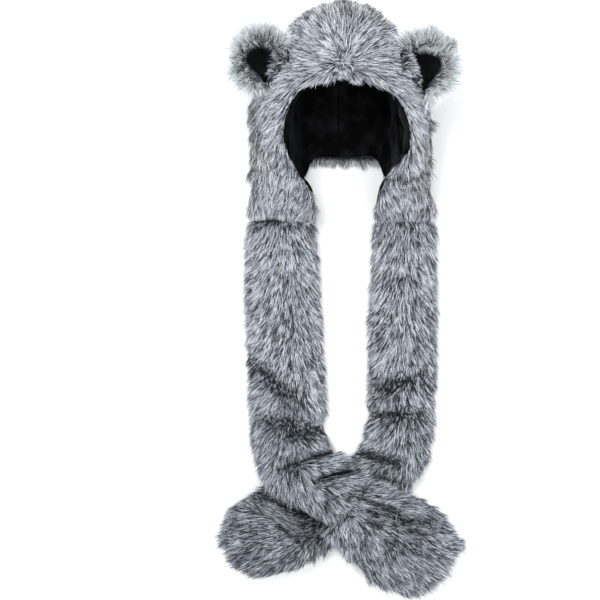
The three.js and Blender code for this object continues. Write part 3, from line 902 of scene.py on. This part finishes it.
# %% Black of the ears
# The outline of each ear's black, by places of the photograph, from its outer side over the top to its point.
ear_blacks = {
    "left_ear": [(246, 59), (249, 52), (255, 49), (262, 48), (269, 51), (275, 55), (271, 64), (268, 73), (264, 86),
                 (261, 77), (256, 71), (250, 66)],
    "right_ear": [(441, 62), (437, 57), (430, 55), (420, 55), (411, 52), (415, 62), (419, 73), (421, 82),
                  (424, 93), (429, 82), (435, 74), (439, 68)],
}
outer_face, inner_face = 0.0042, 0.002


def shape_ear_cloth(part, step=15, window=12):
    """Gives the black of an ear the outline that it has in the photograph, lying on the ear's own plush.

    Each point keeps its share of the way from the middle of the cloth to its edge. The edge is measured every step
    degrees, as the furthest point within a window to both sides.
    """
    points, normals = points_of(ear_cloths[part]), normals_of(ear_cloths[part])
    seen, outline = to_photo(points), np.array(ear_blacks[part], dtype=float)
    aim = outline.mean(axis=0)
    off, rim = seen - (seen.min(axis=0) + seen.max(axis=0)) / 2, outline - aim
    turn, rim_turn = (np.degrees(np.arctan2(way[:, 1], way[:, 0])) for way in (off, rim))
    radius = np.linalg.norm(off, axis=1) + 1e-9
    steps = np.arange(-180, 180, step)
    reach = [radius[np.abs((turn - middle + 180) % 360 - 180) < window].max() for middle in steps]
    share = radius / np.interp(turn, steps, reach, period=360)
    wanted = np.interp(turn, rim_turn, np.linalg.norm(rim, axis=1), period=360)
    places = aim + off * (share * wanted / radius)[:, None]
    plush = BVHTree.FromObject(undercoats[part], bpy.context.evaluated_depsgraph_get())
    for i, point in enumerate(points):
        points[i, :2] = from_photo(*places[i], point[2])
        hit = plush.ray_cast(Vector((point[0], point[1], 0.3)), Vector((0, 0, -1)))[0]
        if hit:
            points[i, 2] = max(point[2], hit.z + (outer_face if normals[i, 2] > 0 else inner_face))
    set_points(ear_cloths[part], points)


for ear in ears:
    shape_ear_cloth(ear)

# %% [markdown]
# # Fur of the hood
# The hairs of the hood are grown in two meshes, so that each stays light enough: the pale front, which frames the
# face, and the smoky outer side and back. No hair grows on the inner wall, which the lining covers, and where the
# hood lies on the floor its hair is short and thin. Hairs at the seams are short, and where a seam shows as a
# crease their roots get a painted shadow, so that the seams show as lines.


# %% Areas of the hood
def facing(points, normals):
    """0 on the pale front of the hood, 1 on its smoky side and back."""
    edge = 0.100 + 0.012 * patches(points, 0.02, 8)
    out = np.abs(points[:, 0] - drawing_x)
    side = smooth_step(edge + 0.012, edge + 0.030, out) * smooth_step(0.40, 0.34, points[:, 1])
    side *= 0.15 + 0.85 * smooth_step(0.02, 0.09, points[:, 1] - seam_y)
    crown = smooth_step(0.405, 0.435, points[:, 1])
    back = smooth_step(0.30, -0.10, normals[:, 2])
    return np.maximum(np.maximum(side, crown * 0.8), back)


def at_nape(points):
    """1 at the hem of the nape, where the fur of the back shows below the lining."""
    hem = smooth_step(0.022, 0.010, np.abs(points[:, 1] - from_photo(341, 158)[1]))
    return hem * smooth_step(0.075, 0.060, np.abs(points[:, 0] - drawing_x)) * (points[:, 2] < 0.03)


def on_hood(front):
    def keep(points, normals):
        outside = outer_side(points, normals) * smooth_step(0.0005, 0.002, from_lining(points))
        under = 1 - 0.8 * smooth_step(0.3, -0.3, normals[:, 2]) * smooth_step(0.03, 0.01, points[:, 2])
        under = np.maximum(under, 1.5 * at_nape(points))
        at_seam = smooth_step(-0.5, -0.8, normals[:, 1]) * smooth_step(0.006, 0.002, points[:, 1] - seam_y)
        back = np.maximum(facing(points, normals), at_nape(points))
        return outside * under * (1 - at_seam) * ((1 - back) if front else back) * ~in_face(points)

    return keep


# %% Edge of the face
rim_height = 0.03
face_edge = np.array([
    (308, 184), (300, 173), (293, 162), (287, 150), (285, 136), (286, 122), (288, 110), (292, 99),
    (300, 90), (312, 83), (328, 80), (345, 79), (362, 81), (378, 86), (391, 92), (400, 102),
    (405, 113), (408, 126), (408, 138), (405, 149), (400, 158), (392, 165), (386, 172), (384, 182),
], dtype=float)


def in_face(points):
    """Whether points look as if they were inside the face opening."""
    seen = to_photo(points)
    inside = np.zeros(len(points), dtype=bool)
    for a, b in zip(face_edge, np.roll(face_edge, -1, axis=0)):
        beside = (a[1] > seen[:, 1]) != (b[1] > seen[:, 1])
        at = a[0] + (seen[:, 1] - a[1]) / (b[1] - a[1] + 1e-9) * (b[0] - a[0])
        inside ^= beside & (seen[:, 0] < at)
    return inside & (points[:, 2] > rim_height)


def to_edge(points, edge):
    """How far each point looks from an open line of the photograph, and the way to it, in metres."""
    seen = to_photo(points)
    best = np.full(len(points), np.inf)
    way = np.zeros((len(points), 2))
    for a, b in zip(edge[:-1], edge[1:]):
        share = np.clip(((seen - a) @ (b - a)) / ((b - a) @ (b - a)), 0, 1)
        step = a + share[:, None] * (b - a) - seen
        gap = np.linalg.norm(step, axis=1)
        closer = gap < best
        best[closer] = gap[closer]
        way[closer] = step[closer]
    return best * pixel, unit(way) * np.array([[1, -1]])


def trimmed(long, roots, normals, flow, edge, spare, shortest=0.004):
    """The length that keeps a hair from reaching more than spare past an edge."""
    gap, way = to_edge(roots, edge)
    direction = tangent_of(flow(roots), normals)
    towards = np.clip((direction[:, :2] * way).sum(axis=1), 0.8 - 0.7 * smooth_step(0.0, 0.012, gap), 1)
    short = np.minimum(long, np.maximum((gap + spare) / towards, shortest))
    return np.where(roots[:, 2] > rim_height, short, long)


def in_crease(points):
    """1 where the cheek seam shows as a crease, with a painted shadow on the roots along it, and 0 where the fur
    hides it.
    """
    seen = to_photo(points)[:, 0]
    left = smooth_step(249, 256, seen) * smooth_step(288, 280, seen)
    return left + smooth_step(378, 385, seen) * smooth_step(436, 428, seen)


# %% Hood hairs
hood_hair_length = 0.024
shortest_at_seam = 0.006
# How far the hood's hairs hang over the cheek seams, by the place across the photograph.
seam_overhang = [(246, 0.001), (271, 0.0), (285, 0.004), (308, 0.011), (320, 0.012),
                 (372, 0.011), (402, 0.013), (412, 0.007), (437, 0.001)]


def hood_length(roots, normals):
    long = hood_hair_length * (1 + 0.15 * patches(roots, 0.03, 2))
    fringe = 0.0005 + (0.0015 + 0.004 * patches(roots, 0.007, 35)) * smooth_step(0.30, 0.33, roots[:, 1])
    long = trimmed(long, roots, normals, hood_flow, face_edge, fringe)
    long *= 1 - 0.35 * (1 - smooth_step(0.0, whorl_reach, np.linalg.norm(roots - whorl, axis=1)))
    past = np.interp(to_photo(roots)[:, 0], *zip(*seam_overhang)) + 0.003 * patches(roots, 0.005, 39)
    long = np.minimum(long, np.clip((roots[:, 1] - seam_y + past) / 0.85, shortest_at_seam, 1))
    nape = at_nape(roots)
    low = smooth_step(0.04, 0.015, roots[:, 2]) * smooth_step(0.5, 0.1, normals[:, 2])
    under = smooth_step(0.1, -0.3, normals[:, 2])
    short = (0.4 * low + 0.3 * under) * (1 - nape) + 0.15 * nape
    return long * (1 - short)


def hood_tint(roots):
    # Painted shade in the dark valleys where the brow's fur meets the crown's: down the middle of the crown, and
    # from each ear towards it.
    crown_valley_shade = near_line(roots, (346, 14), (348, 40), 0.006)
    # Painted shadow in the crease along the cheek seam.
    crease = in_crease(roots) * smooth_step(0.004, 0.001, roots[:, 1] - seam_y)
    ear_valley_shade = near_line(roots, (284, 56), (325, 40), 0.006) + near_line(roots, (408, 54), (365, 38), 0.006)
    uneven = 0.06 * patches(roots, 0.022, 9) + 0.03 * patches(roots, 0.008, 36)
    tint = uneven - 0.175 * crown_valley_shade - 0.16 * ear_valley_shade - 0.2 * crease + 0.15 * at_nape(roots)
    # Painted shade in the short fold at the right cheek.
    return tint - 0.4 * fold_shade("hood", roots)


def grow_hood(name, front, count, seed, width):
    roots, normals = roots_on(undercoats["hood"], count, seed, on_hood(front))
    return blades(
        name, roots, normals, hood_flow, hood_length(roots, normals), hood_tint(roots), seed + 1, width,
        barrier=lining_tree,
    )


hood_front = grow_hood("hood_front_hair", True, 64000, 11, 0.0008)
hood_sides = grow_hood("hood_side_hair", False, 50000, 13, 0.0009)

# %% [markdown]
# # Fur of the strips, paws and ears
# The strips and paws follow the same steps with their own flow. Roots in a fold get a painted shade, roots on the
# ridges beside it a little painted highlight, and roots at a paw's wrist are painted lighter against the shadow
# that the end of the strip casts there. A strip is pale above and turns slate towards its paw, so its hairs are two
# meshes whose roots mix where they meet. The ears are the palest and longest fur, drawn together into spikes that
# look like frost. On the hood's side of each ear, a second mesh of silver hairs, which lie as the hood's do, comes
# up to the black.


# %% Strip and paw hairs
def on_top(points, normals):
    """Fewer hairs on the underside, which lies on the floor, and none on the cut end at the cheek seam."""
    at_seam = smooth_step(0.5, 0.8, normals[:, 1]) * smooth_step(0.006, 0.002, seam_y - points[:, 1])
    return (1 - 0.85 * smooth_step(-0.2, -0.7, normals[:, 2])) * (1 - at_seam)


def lower_part(points, side):
    """0 on the pale upper part of a strip, and 1 on its slate lower part and paw."""
    share = on_route(side, points)[3] / routes[side]["length"]
    return smooth_step(0.50, 0.78, share + 0.04 * patches(points, 0.03, 37))


def grow_band(name, part, low, count, seed, long, tint):
    """The hairs of a paw, or of the upper or the low part of a strip."""
    side = side_of(part)

    def keep(points, normals):
        lower = lower_part(points, side)
        return on_top(points, normals) * (lower if low else 1 - lower)

    roots, normals = roots_on(undercoats[part], count, seed, keep)
    length = long * (1 + 0.12 * patches(roots, 0.03, 7))
    length *= 1 - 0.5 * smooth_step(0.2, -0.6, normals[:, 2])
    # Along the cheek seam's crease the hairs are shorter and their roots get a painted shadow.
    crease = smooth_step(0.006, 0.0, seam_y - roots[:, 1]) * in_crease(roots)
    length *= 1 - 0.5 * crease
    dark = fold_shade(part, roots)
    length *= 1 - 0.4 * np.clip(dark, 0, 1)
    ahead = roots + unit(strip_flow(side)(roots)) * length[:, None] * 0.8
    length *= 1 - 0.45 * np.clip(fold_shade(part, ahead), 0, 1)
    uneven = 0.06 * patches(roots, 0.022, 10) + 0.03 * patches(roots, 0.008, 38)
    along, wrist = on_route(side, roots)[3], routes[side]["length"]
    tint = tint - (0 if low else 0.08 * smooth_step(0.06, 0.22, along))
    if part.endswith("scarf"):
        length *= 1 - 0.25 * smooth_step(wrist - 0.025, wrist, along)
    else:
        # Painted light: the paw's roots near the wrist are lighter, against the shadow that the end of the strip
        # casts there.
        tint = tint + 0.13 * smooth_step(wrist + 0.040, wrist, along)
    # Painted shade in the folds and along the seam crease, and a little painted highlight on the ridges beside the
    # folds.
    shade = uneven - 0.42 * np.clip(dark, -0.3, 1.1) - 0.2 * crease + tint
    return blades(name, roots, normals, strip_flow(side), length, shade, seed + 1)


strip_hair, paw_hair = 0.021, 0.022
bands = {
    "left_scarf": ("left_scarf", False, 28000, 21, strip_hair, -0.06),
    "left_lower": ("left_scarf", True, 20000, 22, strip_hair, 0.03),
    "right_scarf": ("right_scarf", False, 27000, 23, strip_hair, -0.07),
    "right_lower": ("right_scarf", True, 18000, 24, strip_hair, -0.02),
    "left_paw": ("left_paw", True, 32000, 25, paw_hair, -0.03),
    "right_paw": ("right_paw", True, 25000, 27, paw_hair, -0.11),
}
band_hair = {name: grow_band(name + "_hair", *band) for name, band in bands.items()}


# %% Ear hairs
ear_hair_length, front_hair_length = 0.030, 0.018
ear_fronts = {
    "left_ear": np.array([(288, 30), (279, 45), (275, 54), (271, 65), (267, 77), (262, 92)], dtype=float),
    "right_ear": np.array([(398, 32), (410, 50), (414, 60), (419, 74), (425, 96)], dtype=float),
}


def before_ear(part, points):
    """0 on an ear's own pale fur, and 1 where the fur of the hood comes up to the black in front of it."""
    seen, edge = to_photo(points), ear_fronts[part]
    way = 1 if part == "left_ear" else -1
    return smooth_step(-1.5, 2.5, (seen[:, 0] - np.interp(seen[:, 1], edge[:, 1], edge[:, 0])) * way)


def grow_ear(part, front, count, seed, tint):
    """The pale fur of an ear, or the silver fur that comes up to its black on the side of the hood."""
    cloth = BVHTree.FromObject(ear_cloths[part], bpy.context.evaluated_depsgraph_get())
    centre = points_of(ear_cloths[part]).mean(axis=0) - np.array([0, 0, 0.012])

    def gaps(points):
        return np.array([cloth.find_nearest(Vector(point))[3] for point in points])

    def keep(points, normals):
        up = Vector((0, 0, 1))
        open_above = np.array([cloth.ray_cast(Vector(point), up)[0] is None for point in points])
        bare = smooth_step(0.002, 0.004, gaps(points)) * open_above
        if front:
            return bare * before_ear(part, points) * smooth_step(-0.5, 0.0, normals[:, 2])
        outward = (unit(points - centre)[:, :2] * normals[:, :2]).sum(axis=1)
        pale = smooth_step(-0.6, -0.2, outward) * (1 - 0.5 * smooth_step(-0.3, -0.8, normals[:, 2]))
        return bare * pale * (1 - before_ear(part, points))

    def over_rim(points):
        return unit(hood_flow(points)) + np.array([[0, 0, 0.5]])

    roots, normals = roots_on(undercoats[part], count, seed, keep)
    if front:
        even = np.full(count, front_hair_length)
        length = trimmed(even, roots, normals, over_rim, ear_fronts[part], 0.003)
        tint = tint + 0.08 * patches(roots, 0.01, 14)
        return blades(part + "_front_hair", roots, normals, over_rim, length, tint, seed + 1)
    near = smooth_step(0.003, 0.012, gaps(roots))
    length = ear_hair_length * (1 + 0.45 * patches(roots, 0.006, 12)) * (0.5 + 0.5 * near)
    tint = tint + 0.10 * patches(roots, 0.006, 14) + 0.34 * near - 0.12
    return blades(
        part + "_hair", roots, normals, ear_flow(centre), length, tint, seed + 1, 0.0009,
        lift=(30, 16), pull=0.65, every=5, spread=20,
    )


ear_hair = {"left_ear": grow_ear("left_ear", False, 7800, 31, 0.03),
            "right_ear": grow_ear("right_ear", False, 7800, 33, 0.12)}
ear_front_hair = {"left_ear": grow_ear("left_ear", True, 2600, 41, -0.05),
                  "right_ear": grow_ear("right_ear", True, 2600, 43, -0.05)}

# %% [markdown]
# # Putting it together
# Each piece gets its material and rides on the object's one body, and, except for the hairs, the CAD node that
# it stands for is hidden. The paws are padded.


# %% Materials and frame
def dress(piece, material, slot, *nodes):
    piece.data.materials.clear()
    piece.data.materials.append(material)
    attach(piece, "root")
    if nodes:
        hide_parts(*nodes)


dress(undercoats["hood"], undercoat, "hood_fur", "hood_fur")
dress(hood_front, silver, "hood_fur")
dress(hood_sides, smoky, "hood_fur")
dress(hood_cloth, lining, "lining", "hood_lining")
for side in ["left", "right"]:
    dress(undercoats[side + "_scarf"], undercoat, "scarf_fur", side + "_scarf_fur")
    dress(band_hair[side + "_scarf"], silver, "scarf_fur")
    dress(band_hair[side + "_lower"], slate, "scarf_fur")
    dress(undercoats[side + "_paw"], undercoat, "paw_fur", side + "_paw_fur")
    dress(band_hair[side + "_paw"], slate, "paw_fur")
    dress(undercoats[side + "_ear"], undercoat, "ear_fur", side + "_ear_fur")
    dress(ear_hair[side + "_ear"], frost, "ear_fur")
    dress(ear_front_hair[side + "_ear"], silver, "ear_fur")
    dress(ear_cloths[side + "_ear"], ear_lining, "lining", side + "_ear_lining")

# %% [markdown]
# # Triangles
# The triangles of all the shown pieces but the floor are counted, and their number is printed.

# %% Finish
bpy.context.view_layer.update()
total = 0
for piece in bpy.context.scene.objects:
    if piece.type == "MESH" and not piece.hide_render and piece != floor:
        piece.data.calc_loop_triangles()
        total += len(piece.data.loop_triangles)
print("triangles in all", total)
